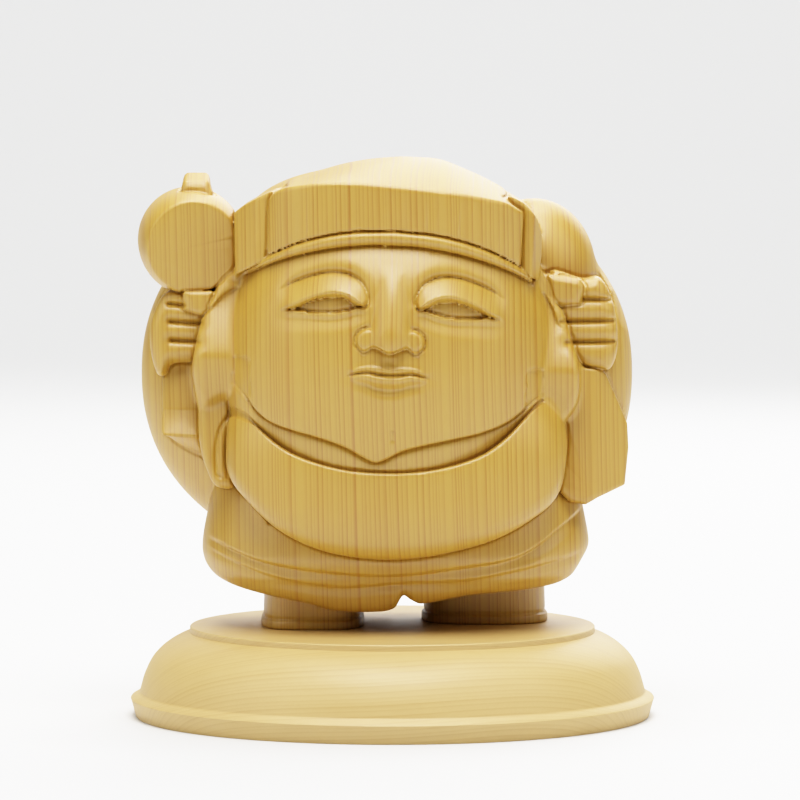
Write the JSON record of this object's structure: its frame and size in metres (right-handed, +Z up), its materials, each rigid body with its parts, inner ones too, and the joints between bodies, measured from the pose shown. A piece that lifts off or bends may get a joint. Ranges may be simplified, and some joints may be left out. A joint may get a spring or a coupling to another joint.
{
  "type": "daikoku figure",
  "caption": "Stout carved wooden god of plenty with a broad calm face and cap, a raised mallet and a sack on his back, standing on a round turned base.",
  "frame": {"origin": "centre of the round base's underside, on the surface that it stands on", "axes": "+Z up, the figure faces -Y, and +X is at its left hand, which holds the sack"},
  "size_m": [0.1298, 0.13, 0.1387],
  "materials": {
    "figure_wood": "bare carved cypress, smooth, warm yellow with fine straight grain",
    "base_wood": "bare turned cypress, satin, paler than the figure"
  },
  "bodies": {
    "root": {"figure": "figure_wood", "base": "base_wood"}
  },
  "joints": []
}
